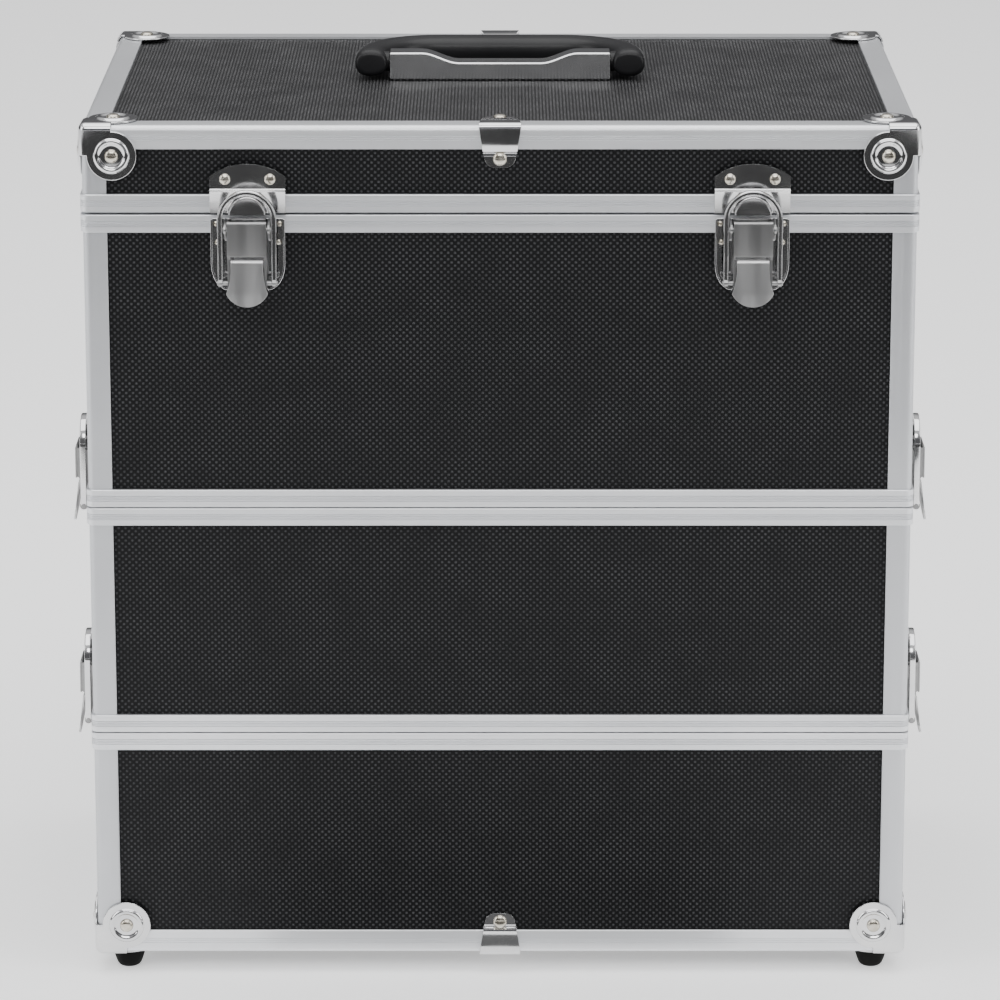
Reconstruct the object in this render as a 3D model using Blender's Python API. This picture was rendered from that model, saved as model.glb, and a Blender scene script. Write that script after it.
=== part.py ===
"""Makeup train case: three stacked cases and a hinged lid, clamped together by six draw latches.

Metres, +Z up, front towards -Y. The origin is on the ground, under the middle of the whole object.
"""

import math
from collections import namedtuple

import bpy
import bmesh
from mathutils import Matrix, Vector

MM = 0.001

# Driving dimensions of the case
WIDTH = 370 * MM
DEPTH = 240 * MM
FOOT_GAP = 10.5 * MM  # underside of the bottom case above the ground
BOTTOM_HEIGHT = 106 * MM
MIDDLE_HEIGHT = 105.5 * MM
UPPER_HEIGHT = 134 * MM
LID_HEIGHT = 39.2 * MM
SEAM_GAP = 0.6 * MM  # between two stacked rims
FIT = 0.3 * MM  # between pieces that touch

# Aluminium edge frames
SHEET = 1.2 * MM
POST_WIDTH = 11.8 * MM
INSET = 1 * MM  # the posts and the end rims stand this far behind the seam rims
RIM_HEIGHT = 8 * MM
END_RIM_HEIGHT = 10.6 * MM  # the lid's top edge and the bottom case's lower edge
RIM_THICKNESS = 2.2 * MM
END_FLANGE = 12.5 * MM  # width of the edge strip on the top and underneath
TONGUE_HEIGHT = 3 * MM
TONGUE_INSET = 8.5 * MM
FLANGE_REACH = 8 * MM  # inner edge of a lower rim's flange

# Panels
PANEL = 4 * MM
FLOOR_RISE = 4.2 * MM  # room for the tongue of the case below

# Draw latches, measured out from the rim's face and up from the seam
LATCH_SPREAD = 111 * MM
LATCH_REACH = 17.5 * MM
LEVER_PIVOT = Vector((0, -10.5 * MM, -5 * MM))
BAIL_PIVOT = Vector((0, -10.6 * MM, -29 * MM))
PIVOT_RADIUS = 1.1 * MM

# Lid hinges
HINGE_SPREAD = 100 * MM
HINGE_WIDTH = 42 * MM
HINGE_OFFSET = 4 * MM  # pin behind the rear rim
KNUCKLE_RADIUS = 3.2 * MM

# Handle on the lid
BRACKET_WIDTH = 102 * MM
BRACKET_DEPTH = 12.4 * MM
HANDLE_WIDTH = 134 * MM
GRIP_PIVOT_HEIGHT = 8.2 * MM
GRIP_BAR_OFFSET = 32 * MM  # from the pivot back to the middle of the bar

# Corner guards
GUARD_THICKNESS = 1.2 * MM
LOBE_CENTRE = 13.4 * MM
LOBE_RADIUS = 11 * MM

CASE_Y = (LATCH_REACH - HINGE_OFFSET - KNUCKLE_RADIUS) / 2  # centres the whole object on the origin
BOTTOM_Z = FOOT_GAP
MIDDLE_Z = BOTTOM_Z + BOTTOM_HEIGHT
UPPER_Z = MIDDLE_Z + MIDDLE_HEIGHT
LID_Z = UPPER_Z + UPPER_HEIGHT
TOP_Z = LID_Z + LID_HEIGHT
FRONT_Y = CASE_Y - DEPTH / 2
REAR_Y = CASE_Y + DEPTH / 2
PANEL_TOP = TOP_Z - SHEET - FIT  # upper face of the lid's panel
HINGE_Y = REAR_Y + HINGE_OFFSET
GRIP_PIVOT = Vector((0, CASE_Y + 4 * MM, PANEL_TOP + GRIP_PIVOT_HEIGHT))


def clear_scene():
    for obj in list(bpy.data.objects):
        bpy.data.objects.remove(obj, do_unlink=True)


def principled(name, color, roughness, metallic):
    material = bpy.data.materials.new(name)
    material.use_nodes = True
    shader = material.node_tree.nodes["Principled BSDF"]
    shader.inputs["Base Color"].default_value = (*color, 1)
    shader.inputs["Roughness"].default_value = roughness
    shader.inputs["Metallic"].default_value = metallic
    return material


# Solids. Each function returns a mesh object that is later a piece or a tool for one.


def solid_from(bm, name="solid"):
    bmesh.ops.recalc_face_normals(bm, faces=bm.faces)
    mesh = bpy.data.meshes.new(name)
    bm.to_mesh(mesh)
    bm.free()
    obj = bpy.data.objects.new(name, mesh)
    bpy.context.scene.collection.objects.link(obj)
    return obj


def loft(rings):
    """A closed solid through rings that have the same number of points."""
    bm = bmesh.new()
    loops = [[bm.verts.new(point) for point in ring] for ring in rings]
    for lower, upper in zip(loops, loops[1:]):
        for i in range(len(lower)):
            j = (i + 1) % len(lower)
            bm.faces.new((lower[i], lower[j], upper[j], upper[i]))
    bm.faces.new(reversed(loops[0]))
    bm.faces.new(loops[-1])
    return solid_from(bm)


def box(low, high):
    (x0, y0, z0), (x1, y1, z1) = low, high
    corners = ((x0, y0), (x1, y0), (x1, y1), (x0, y1))
    return loft([[(x, y, z) for x, y in corners] for z in (z0, z1)])


def centred_box(half_x, half_y, z0, z1):
    return box((-half_x, -half_y, z0), (half_x, half_y, z1))


def prism(outline, axis, start, end):
    """An outline, in the two other axes in X, Y, Z order, extruded along axis."""
    order = {"X": (2, 0, 1), "Y": (0, 2, 1), "Z": (0, 1, 2)}[axis]
    rings = []
    for depth in (start, end):
        flat = [(a, b, depth) for a, b in outline]
        rings.append([tuple(point[i] for i in order) for point in flat])
    return loft(rings)


def circle(centre, radius, count):
    angles = [2 * math.pi * (i + 0.5) / count for i in range(count)]
    return [(centre[0] + radius * math.cos(a), centre[1] + radius * math.sin(a)) for a in angles]


def arc(centre, radius, first, last, count):
    """Points on an arc between two angles in degrees, both ends included."""
    angles = [math.radians(first + (last - first) * i / count) for i in range(count + 1)]
    return [(centre[0] + radius * math.cos(a), centre[1] + radius * math.sin(a)) for a in angles]


def square_ring(outer, inner, z0, z1):
    """A rectangular ring, from its outer and inner half widths and depths."""
    bm = bmesh.new()
    signs = ((-1, -1), (1, -1), (1, 1), (-1, 1))
    section = ((outer, z0), (outer, z1), (inner, z1), (inner, z0))
    loops = [[bm.verts.new((sx * half[0], sy * half[1], z)) for sx, sy in signs] for half, z in section]
    for i, loop in enumerate(loops):
        following = loops[(i + 1) % len(loops)]
        for j in range(4):
            k = (j + 1) % 4
            bm.faces.new((loop[j], loop[k], following[k], following[j]))
    return solid_from(bm)


def bevelled(obj, width, segments):
    modifier = obj.modifiers.new("Bevel", "BEVEL")
    modifier.width = width
    modifier.segments = segments
    modifier.limit_method = "ANGLE"
    return obj


def combined(solids, common=(), cutters=()):
    """The mesh of the joined solids, kept inside the common ones, less the cutters."""
    base = solids[0]
    steps = [(tool, "UNION") for tool in solids[1:]]
    steps += [(tool, "INTERSECT") for tool in common]
    steps += [(tool, "DIFFERENCE") for tool in cutters]
    for tool, operation in steps:
        modifier = base.modifiers.new(operation, "BOOLEAN")
        modifier.operation = operation
        modifier.solver = "EXACT"
        modifier.object = tool
    graph = bpy.context.evaluated_depsgraph_get()
    mesh = bpy.data.meshes.new_from_object(base.evaluated_get(graph))
    for obj in [base] + [tool for tool, _ in steps]:
        bpy.data.objects.remove(obj, do_unlink=True)
    return mesh


def tidied(mesh, smooth=True):
    """Merges what a Boolean leaves a hair apart, dissolves flat seams, and shades round stretches smooth."""
    bm = bmesh.new()
    bm.from_mesh(mesh)
    bmesh.ops.remove_doubles(bm, verts=bm.verts, dist=0.002 * MM)
    bmesh.ops.dissolve_limit(bm, angle_limit=math.radians(0.5), verts=bm.verts, edges=bm.edges)
    bmesh.ops.triangulate(bm, faces=bm.faces)
    bm.to_mesh(mesh)
    bm.free()
    if smooth:
        mesh.shade_smooth()
        mesh.set_sharp_from_angle(angle=math.radians(35))
    return mesh


def piece(name, mesh, material, parent=None, location=(0, 0, 0), angle=0.0):
    """A named piece at a world position, turned about Z."""
    obj = bpy.data.objects.new(name, mesh)
    bpy.context.scene.collection.objects.link(obj)
    if not mesh.materials:
        mesh.materials.append(material)
    obj.location = Vector(location) - (parent.location if parent else Vector())
    obj.rotation_euler.z = angle
    obj.parent = parent
    return obj


def axis_empty(name, location):
    empty = bpy.data.objects.new(name, None)
    bpy.context.scene.collection.objects.link(empty)
    empty.location = Vector(location)
    return empty


# Cases


Rim = namedtuple("Rim", "height flange proud")
END_RIM = Rim(END_RIM_HEIGHT, END_FLANGE, False)
RIM_OVER_SEAM = Rim(RIM_HEIGHT, FLANGE_REACH, True)
RIM_UNDER_SEAM = Rim(RIM_HEIGHT, TONGUE_INSET + SHEET, True)


def frame_mesh(height, low_rim, high_rim, tongue):
    """The edge frame of one case, centred on X and Y, from z = 0 to its height."""
    half_x, half_y = WIDTH / 2, DEPTH / 2
    side = RIM_THICKNESS
    solids = [centred_box(half_x, half_y, 0, height)]
    if tongue:
        outer = (half_x - TONGUE_INSET, half_y - TONGUE_INSET)
        inner = (outer[0] - SHEET, outer[1] - SHEET)
        solids.append(square_ring(outer, inner, height - SHEET, height + TONGUE_HEIGHT))
    over = 10 * MM  # how far a cutter runs past a face
    window = (low_rim.height, height - high_rim.height)
    set_back = (window[0] if low_rim.proud else -over, window[1] if high_rim.proud else height + over)
    cutters = [
        centred_box(half_x - side, half_y - side, SHEET, height - SHEET),
        centred_box(half_x - low_rim.flange, half_y - low_rim.flange, -over, 2 * SHEET),
        centred_box(half_x - high_rim.flange, half_y - high_rim.flange, height - 2 * SHEET, height + over),
        centred_box(half_x + over, half_y - POST_WIDTH, *window),
        centred_box(half_x - POST_WIDTH, half_y + over, *window),
        square_ring((half_x + over, half_y + over), (half_x - INSET, half_y - INSET), *set_back),
    ]
    return tidied(combined(solids, cutters=cutters), smooth=False)


def shell_mesh(height, floor_low):
    """The panels of a case as one open box: a floor that starts at floor_low, and four walls."""
    half_x, half_y = WIDTH / 2 - RIM_THICKNESS - FIT, DEPTH / 2 - RIM_THICKNESS - FIT
    low, high = SHEET + FIT, height - SHEET - FIT
    over = 10 * MM
    cutters = [centred_box(half_x - PANEL, half_y - PANEL, floor_low + PANEL, high + over)]
    if floor_low > low:
        cutters.append(centred_box(half_x - PANEL, half_y - PANEL, low - over, floor_low))
    return tidied(combined([centred_box(half_x, half_y, low, high)], cutters=cutters), smooth=False)


def lid_shell_mesh():
    half_x, half_y = WIDTH / 2 - RIM_THICKNESS - FIT, DEPTH / 2 - RIM_THICKNESS - FIT
    low, high = SHEET + FIT, LID_HEIGHT - SEAM_GAP - SHEET - FIT
    cavity = centred_box(half_x - PANEL, half_y - PANEL, low - 10 * MM, high - PANEL)
    return tidied(combined([centred_box(half_x, half_y, low, high)], cutters=[cavity]), smooth=False)


def make_cases(carriers, aluminium, board):
    """The bottom, middle and upper case and the lid: a frame and a shell each."""
    rows = (
        ("bottom", BOTTOM_Z, BOTTOM_HEIGHT, END_RIM, SHEET + FIT),
        ("middle", MIDDLE_Z, MIDDLE_HEIGHT, RIM_OVER_SEAM, FLOOR_RISE),
        ("upper", UPPER_Z, UPPER_HEIGHT, RIM_OVER_SEAM, FLOOR_RISE),
    )
    for name, z, height, low_rim, floor_low in rows:
        tall = height - SEAM_GAP
        frame = frame_mesh(tall, low_rim, RIM_UNDER_SEAM, True)
        piece(name + "_frame", frame, aluminium, carriers[name], (0, CASE_Y, z))
        piece(name + "_shell", shell_mesh(tall, floor_low), board, carriers[name], (0, CASE_Y, z))
    frame = frame_mesh(LID_HEIGHT - SEAM_GAP, RIM_OVER_SEAM, END_RIM, False)
    foot = (0, CASE_Y, LID_Z + SEAM_GAP)
    piece("lid_frame", frame, aluminium, carriers["lid"], foot)
    piece("lid_shell", lid_shell_mesh(), board, carriers["lid"], foot)


# Corner guards, edge clips and feet


def guard_mesh():
    """A pressed guard over the corner at the origin, with the case on its negative sides."""
    skin, over = GUARD_THICKNESS, 4 * MM
    size = LOBE_CENTRE + LOBE_RADIUS + over
    block = bevelled(box((-size,) * 3, (skin,) * 3), 1.6 * MM, 2)
    centre = (-LOBE_CENTRE, -LOBE_CENTRE)
    lobes = [prism(circle(centre, LOBE_RADIUS, 20), axis, -over, over) for axis in "XYZ"]
    mask = solid_with(combined([box((-LOBE_CENTRE,) * 3, (over,) * 3)] + lobes))
    inside = box((-size - over,) * 3, (FIT,) * 3)
    return tidied(combined([block], common=[mask], cutters=[inside]))


def solid_with(mesh):
    obj = bpy.data.objects.new("solid", mesh)
    bpy.context.scene.collection.objects.link(obj)
    return obj


def make_guards(carriers, chrome):
    mesh = guard_mesh()
    turns = {("right", "rear"): 0, ("left", "rear"): 90, ("left", "front"): 180, ("right", "front"): 270}
    for (side, end), turn in turns.items():
        x = (WIDTH / 2 - INSET) * (1 if side == "right" else -1)
        y = REAR_Y - INSET if end == "rear" else FRONT_Y + INSET
        place = f"{end}_{side}"
        piece("lid_corner_" + place, mesh, chrome, carriers["lid"], (x, y, TOP_Z), math.radians(turn))
        low = piece("base_corner_" + place, mesh, chrome, None, (x, y, BOTTOM_Z))
        flip = Matrix.Rotation(math.pi, 4, "X") @ Matrix.Rotation(math.radians(-90), 4, "Z")
        low.rotation_euler = (Matrix.Rotation(math.radians(turn), 4, "Z") @ flip).to_euler()


def clip_mesh():
    """A clip over the edge at the origin: a leg down the front, one back over the top, a rivet in each."""
    thick = 1.2 * MM
    outer, step = FIT + thick, RIM_THICKNESS + FIT - INSET  # step: from the rim's face to the panel's
    wide, narrow, tip, radius = 9.2 * MM, 7.7 * MM, 6.9 * MM, 3.4 * MM
    legs = []
    rows = ((18.8 * MM, END_RIM_HEIGHT, 14.8 * MM), (23.2 * MM, END_FLANGE - INSET, 19.8 * MM))
    for length, flange, spot in rows:
        edge = flange + FIT
        side = [(-outer, outer), (-FIT, outer), (-FIT, -edge), (step - FIT, -edge), (step - FIT, -length)]
        side += [(step - outer, -length), (step - outer, -edge - thick), (-outer, -edge - thick)]
        low = -length + radius
        outline = [(-wide, outer), (-wide, 0), (-narrow, -edge)]
        outline += arc((radius - tip, low), radius, 180, 270, 4)
        outline += arc((tip - radius, low), radius, 270, 360, 4)
        outline += [(narrow, -edge), (wide, 0), (wide, outer)]
        leg = combined([prism(side, "X", -wide, wide)], common=[prism(outline, "Y", -5 * MM, 5 * MM)])
        legs += [solid_with(leg), rivet((0, -spot), outer - step, radius=3.1 * MM, height=1.5 * MM)]
    # the second leg lies over the top, as a mirror image in the plane halfway between the two faces
    for solid in legs[2:]:
        solid.data.transform(Matrix(((1, 0, 0, 0), (0, 0, -1, 0), (0, -1, 0, 0), (0, 0, 0, 1))))
        solid.data.flip_normals()
    return tidied(combined(legs))


def rivet(centre, face, radius=2.4 * MM, height=1.3 * MM):
    """A low rivet head on a face that looks towards -Y."""
    rings = []
    for share, rise in ((1, -0.3 * MM), (1, 0.35 * height), (0.6, height)):
        points = circle(centre, radius * share, 8)
        rings.append([(x, -face - rise, z) for x, z in points])
    return loft(rings)


def make_clips(carriers, chrome):
    mesh = clip_mesh()
    front, rear = FRONT_Y + INSET, REAR_Y - INSET
    piece("lid_clip_front", mesh, chrome, carriers["lid"], (0, front, TOP_Z))
    piece("lid_clip_rear", mesh, chrome, carriers["lid"], (0, rear, TOP_Z), math.pi)
    for name, y, turn in (("base_clip_front", front, math.pi), ("base_clip_rear", rear, 0)):
        low = piece(name, mesh, chrome, None, (0, y, BOTTOM_Z))
        low.rotation_euler = (math.pi, 0, turn)


def foot_mesh():
    height = FOOT_GAP - GUARD_THICKNESS - FIT
    profile = ((4 * MM, 0), (5.2 * MM, 0.8 * MM), (6.6 * MM, 4.6 * MM), (7.5 * MM, height))
    rings = [[(x, y, z) for x, y in circle((0, 0), r, 14)] for r, z in profile]
    return tidied(combined([loft(rings)]))


def make_feet(rubber):
    mesh = foot_mesh()
    for side, x in (("left", -1), ("right", 1)):
        for end, y in (("front", FRONT_Y + INSET + LOBE_CENTRE), ("rear", REAR_Y - INSET - LOBE_CENTRE)):
            piece(f"foot_{end}_{side}", mesh, rubber, None, (x * (WIDTH / 2 - INSET - LOBE_CENTRE), y, 0))


# Draw latches. Their meshes are drawn around the point of the rim's face at the seam.


def strike_mesh():
    """The plate above the seam, with the half-moon hook that the bail goes around."""
    half, shoulder, top, foot = 16.6 * MM, 16.8 * MM, 22.4 * MM, 0.6 * MM
    rise = top - shoulder
    radius = (half**2 + rise**2) / (2 * rise)
    spread = math.degrees(math.asin(half / radius))
    crown = arc((0, top - radius), radius, 90 - spread, 90 + spread, 8)
    plate = prism([(-half, foot), (half, foot)] + crown, "Y", -FIT - SHEET, -FIT)
    rings = []
    for reach, size in ((FIT + 0.5 * SHEET, 8.2 * MM), (6.2 * MM, 8.2 * MM), (8.8 * MM, 6 * MM)):
        rings.append([(x, -reach, z) for x, z in arc((0, foot), size, 0, 180, 10)])
    heads = [rivet((x, 15.4 * MM), FIT + SHEET) for x in (-9.9 * MM, 9.9 * MM)]
    return tidied(combined([plate, loft(rings)] + heads))


def latch_base_mesh():
    """The plate below the seam, with two ears that carry the lever and two folded edges."""
    half, top, waist, foot = 16.4 * MM, -1.8 * MM, -24 * MM, -33.5 * MM
    right = [(9 * MM, foot), (13 * MM, -31 * MM), (half, waist), (half, top)]
    left = [(-x, z) for x, z in reversed(right)]
    plate = prism(right + left, "Y", -FIT - SHEET, -FIT)
    solids = [plate]
    root = -FIT - 0.5 * SHEET
    ear = [(root, -1.8 * MM), (root, -12 * MM), (-9 * MM, -9.4 * MM)]
    ear += arc((LEVER_PIVOT.y, LEVER_PIVOT.z), 3 * MM, 270, 90, 5)
    fold = [(root, -5 * MM), (root, -23 * MM), (-4 * MM, -21 * MM), (-4 * MM, -7 * MM)]
    for side in (-1, 1):
        solids.append(prism(ear, "X", side * 9.0 * MM, side * 10.2 * MM))
        solids.append(prism(fold, "X", side * 15.2 * MM, side * half))
    bore = circle((LEVER_PIVOT.y, LEVER_PIVOT.z), PIVOT_RADIUS + FIT, 10)
    return tidied(combined(solids, cutters=[prism(bore, "X", -20 * MM, 20 * MM)]))


def lever_mesh():
    """A channel that turns on the ears, and a curved tab to lift it by. The origin is on its pivot."""
    wall, half, back, face = 1.1 * MM, 8.6 * MM, -8.6 * MM, -14.5 * MM
    inner = half - wall
    channel = [(-half, back), (-inner, back), (-inner, face + wall), (inner, face + wall), (inner, back)]
    channel += [(half, back), (half, face), (-half, face)]
    solids = [prism(channel, "Z", -17.5 * MM, -1.2 * MM)]
    tab = (
        (-15.5 * MM, 7.5 * MM, 13.5 * MM),
        (-20 * MM, 7.5 * MM, 13.2 * MM),
        (-26 * MM, 7.5 * MM, 13.3 * MM),
        (-30 * MM, 7.9 * MM, 14.2 * MM),
        (-33.5 * MM, 9.2 * MM, 15.4 * MM),
        (-36.5 * MM, 7.4 * MM, 16.5 * MM),
        (-38.8 * MM, 4 * MM, LATCH_REACH),
    )  # height, half width and reach of each row
    rings = []
    for z, width, reach in tab:
        corners = ((-width, reach), (width, reach), (width, reach - 1.3 * MM), (-width, reach - 1.3 * MM))
        rings.append([(x, -y, z) for x, y in corners])
    solids.append(loft(rings))
    arm = [(back, -16 * MM), (back, -30 * MM), (-9.6 * MM, -31.4 * MM), (-12.4 * MM, -31 * MM)]
    arm += [(-12.9 * MM, -26 * MM), (-12.9 * MM, -16 * MM)]
    for side in (-1, 1):
        solids.append(prism(arm, "X", side * 7.3 * MM, side * half))
    for pivot, reach in ((LEVER_PIVOT, 10.1 * MM), (BAIL_PIVOT, 12.9 * MM)):
        rod = circle((pivot.y, pivot.z), PIVOT_RADIUS, 10)
        solids.append(prism(rod, "X", -reach, reach))
    mesh = tidied(combined(solids))
    mesh.transform(Matrix.Translation(-LEVER_PIVOT))
    return mesh


def bail_mesh():
    """The loop that goes around the hook. The origin is on the pin that joins it to the lever."""
    inner, outer, crown = 10.6 * MM, 13 * MM, -0.4 * MM
    low = BAIL_PIVOT.z
    outline = arc((0, crown), outer, 0, 180, 12) + [(-outer, low), (-inner, low)]
    outline += arc((0, crown), inner, 180, 0, 12) + [(inner, low), (outer, low)]
    half_depth = 1.3 * MM
    solids = [prism(outline, "Y", BAIL_PIVOT.y - half_depth, BAIL_PIVOT.y + half_depth)]
    eye = circle((BAIL_PIVOT.y, low), 2.6 * MM, 12)
    for side in (-1, 1):
        solids.append(prism(eye, "X", side * inner, side * outer))
    bore = circle((BAIL_PIVOT.y, low), PIVOT_RADIUS + FIT, 10)
    mesh = tidied(combined(solids, cutters=[prism(bore, "X", -20 * MM, 20 * MM)]))
    mesh.transform(Matrix.Translation(-BAIL_PIVOT))
    return mesh


def make_latches(carriers, chrome):
    """Two latches on the front hold the lid; one on each side of each seam holds the cases together."""
    strike, base, lever, bail = strike_mesh(), latch_base_mesh(), lever_mesh(), bail_mesh()
    side_x = WIDTH / 2
    rows = (
        ("front_left", -LATCH_SPREAD, FRONT_Y, LID_Z, 0, "lid", "upper"),
        ("front_right", LATCH_SPREAD, FRONT_Y, LID_Z, 0, "lid", "upper"),
        ("upper_left", -side_x, CASE_Y, UPPER_Z, -90, "upper", "middle"),
        ("upper_right", side_x, CASE_Y, UPPER_Z, 90, "upper", "middle"),
        ("lower_left", -side_x, CASE_Y, MIDDLE_Z, -90, "middle", "bottom"),
        ("lower_right", side_x, CASE_Y, MIDDLE_Z, 90, "middle", "bottom"),
    )
    for name, x, y, z, degrees, above, below in rows:
        turn = math.radians(degrees)
        spin = Matrix.Rotation(turn, 4, "Z")
        seam = Vector((x, y, z))
        piece(f"latch_{name}_strike", strike, chrome, carriers[above], seam, turn)
        piece(f"latch_{name}_base", base, chrome, carriers[below], seam, turn)
        piece(f"latch_{name}_lever", lever, chrome, carriers[below], seam + spin @ LEVER_PIVOT, turn)
        piece(f"latch_{name}_bail", bail, chrome, carriers[below], seam + spin @ BAIL_PIVOT, turn)


# Lid hinges, drawn around the pin, with the rear face of the case towards +Y


def leaf_mesh(up, knuckles):
    """A hinge leaf on one side of the pin, with a knuckle on each stretch of the pin listed."""
    half, reach = HINGE_WIDTH / 2, 18 * MM
    near, far = HINGE_OFFSET - FIT - SHEET, HINGE_OFFSET - FIT
    start = KNUCKLE_RADIUS + 0.5 * MM
    low, high = sorted((up * start, up * reach))
    solids = [box((-half, near, low), (half, far, high))]
    tab_low, tab_high = sorted((0, up * (start + MM)))
    for first, last in knuckles:
        solids.append(box((first, near, tab_low), (last, far, tab_high)))
        solids.append(prism(circle((0, 0), KNUCKLE_RADIUS, 12), "X", first, last))
    for x in (-14 * MM, 0, 14 * MM):
        solids.append(rivet((x, up * 12.5 * MM), -near, radius=2 * MM, height=MM))
    bore = prism(circle((0, 0), 1.5 * MM + FIT, 10), "X", -half - MM, half + MM)
    return tidied(combined(solids, cutters=[bore]))


def make_hinges(carriers, steel):
    half, split, gap = HINGE_WIDTH / 2, 7 * MM, 0.4 * MM
    case_leaf = leaf_mesh(-1, ((-half, -split), (split, half)))
    lid_leaf = leaf_mesh(1, ((-split + gap, split - gap),))
    pin = tidied(combined([prism(circle((0, 0), 1.5 * MM, 10), "X", -half - MM, half + MM)]))
    for side, x in (("left", -HINGE_SPREAD), ("right", HINGE_SPREAD)):
        spot = (x, HINGE_Y, LID_Z)
        piece(f"hinge_{side}_case_leaf", case_leaf, steel, carriers["upper"], spot, math.pi)
        piece(f"hinge_{side}_lid_leaf", lid_leaf, steel, carriers["lid"], spot, math.pi)
        piece(f"hinge_{side}_pin", pin, steel, carriers["upper"], spot, math.pi)


# Handle, drawn around the grip's pivot axis


def bracket_mesh():
    """A pressed channel on the lid, open below, with closed ends and a slightly lower waist."""
    half, near, thick = BRACKET_WIDTH / 2, BRACKET_DEPTH / 2, 1.3 * MM
    foot, high, waist = -GRIP_PIVOT_HEIGHT + FIT, 5 * MM, 0.9 * MM
    right = [(half, foot), (half, high), (32 * MM, high), (20 * MM, waist)]
    left = [(-x, z) for x, z in reversed(right)]
    inner = [(half - thick, foot - MM), (half - thick, high - thick)]
    inner += [(32 * MM, high - thick), (20 * MM, waist - thick)]
    inner += [(-x, z) for x, z in reversed(inner)]
    channel = prism(right + left, "Y", -near, near)
    hollow = prism(inner, "Y", thick - near, near - thick)
    bore = circle((0, 0), 2 * MM + FIT, 10)
    bores = [prism(bore, "X", side * (half - 2 * thick), side * (half + MM)) for side in (-1, 1)]
    return tidied(combined([channel], cutters=[hollow] + bores))


def grip_mesh():
    """A moulded grip: round ends at the pivots, arms that turn in, and a bar behind."""
    arm_x, turn_radius = (HANDLE_WIDTH - 15 * MM) / 2, 31 * MM
    bar_y = GRIP_BAR_OFFSET
    corner = arc((arm_x - turn_radius, bar_y - turn_radius), turn_radius, 0, 90, 6)
    path = [(arm_x, -6.8 * MM), (arm_x, -4.4 * MM), (arm_x, 0)] + corner
    path += [(-x, y) for x, y in reversed(path)]
    middle = (len(path) - 1) / 2
    rings = []
    for i, (x, y) in enumerate(path):
        before, after = Vector(path[max(i - 1, 0)]), Vector(path[min(i + 1, len(path) - 1)])
        along = (after - before).normalized()
        across = Vector((along.y, -along.x))
        from_end = middle - abs(i - middle)
        half_wide, half_tall = (4.2 * MM, 4 * MM) if from_end < 1 else (7.5 * MM, 6.6 * MM)
        ring = []
        for a in range(12):
            turn = 2 * math.pi * a / 12
            wide, tall = half_wide * math.cos(turn), half_tall * math.sin(turn)
            ring.append((x + across.x * wide, y + across.y * wide, tall))
        rings.append(ring)
    start, reach = BRACKET_WIDTH / 2, 12 * MM
    bore = circle((0, 0), 2 * MM + FIT, 10)
    holes = [prism(bore, "X", side * (start - MM), side * (start + reach)) for side in (-1, 1)]
    return tidied(combined([loft(rings)], cutters=holes))


def make_handle(carriers, chrome, plastic):
    piece("handle_bracket", bracket_mesh(), chrome, carriers["lid"], GRIP_PIVOT)
    piece("handle_grip", grip_mesh(), plastic, carriers["grip"], GRIP_PIVOT)
    inner, outer = BRACKET_WIDTH / 2 - 4 * MM, BRACKET_WIDTH / 2 + 11 * MM
    for side, sign in (("left", -1), ("right", 1)):
        pin = prism(circle((0, 0), 2 * MM, 10), "X", sign * inner, sign * outer)
        piece(f"handle_pin_{side}", tidied(combined([pin])), chrome, carriers["lid"], GRIP_PIVOT)


def main():
    clear_scene()
    aluminium = principled("aluminium_edge", (0.62, 0.63, 0.65), 0.35, 1)
    board = principled("textured_panel", (0.022, 0.023, 0.025), 0.5, 0)
    chrome = principled("chromed_steel", (0.7, 0.7, 0.7), 0.12, 1)
    rubber = principled("foot_rubber", (0.012, 0.012, 0.012), 0.6, 0)
    plastic = principled("grip_plastic", (0.012, 0.012, 0.013), 0.45, 0)
    carriers = {
        "bottom": None,
        "middle": axis_empty("middle_case_lift", (0, CASE_Y, MIDDLE_Z)),
        "upper": axis_empty("upper_case_lift", (0, CASE_Y, UPPER_Z)),
        "lid": axis_empty("lid_hinge_axis", (0, HINGE_Y, LID_Z)),
        "grip": axis_empty("handle_axis", GRIP_PIVOT),
    }
    make_cases(carriers, aluminium, board)
    make_guards(carriers, chrome)
    make_clips(carriers, chrome)
    make_feet(rubber)
    make_latches(carriers, chrome)
    make_hinges(carriers, chrome)
    make_handle(carriers, chrome, plastic)


main()
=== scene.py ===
"""Looks of the makeup train case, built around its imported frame. Metres, +Z up, front towards -Y."""

import math

import bmesh
import bpy
from mathutils import Matrix, Vector


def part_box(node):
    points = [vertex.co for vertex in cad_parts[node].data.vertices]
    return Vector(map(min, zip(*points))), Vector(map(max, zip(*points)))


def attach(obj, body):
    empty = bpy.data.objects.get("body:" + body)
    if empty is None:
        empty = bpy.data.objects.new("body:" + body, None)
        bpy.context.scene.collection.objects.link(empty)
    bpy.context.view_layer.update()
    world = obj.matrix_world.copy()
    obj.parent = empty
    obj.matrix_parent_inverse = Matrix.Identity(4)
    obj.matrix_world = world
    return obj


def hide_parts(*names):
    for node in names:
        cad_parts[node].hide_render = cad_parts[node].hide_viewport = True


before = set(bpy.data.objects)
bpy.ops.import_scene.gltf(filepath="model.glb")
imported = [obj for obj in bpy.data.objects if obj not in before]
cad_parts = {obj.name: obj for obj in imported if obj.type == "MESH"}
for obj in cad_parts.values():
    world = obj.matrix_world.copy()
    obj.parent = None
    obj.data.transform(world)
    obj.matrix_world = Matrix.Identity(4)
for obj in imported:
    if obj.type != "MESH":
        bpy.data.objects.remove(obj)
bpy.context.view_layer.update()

MM = 0.001
CASES = ("bottom", "middle", "upper")
BODY = {"bottom": "bottom_case", "middle": "middle_case", "upper": "upper_case", "lid": "lid"}

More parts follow.
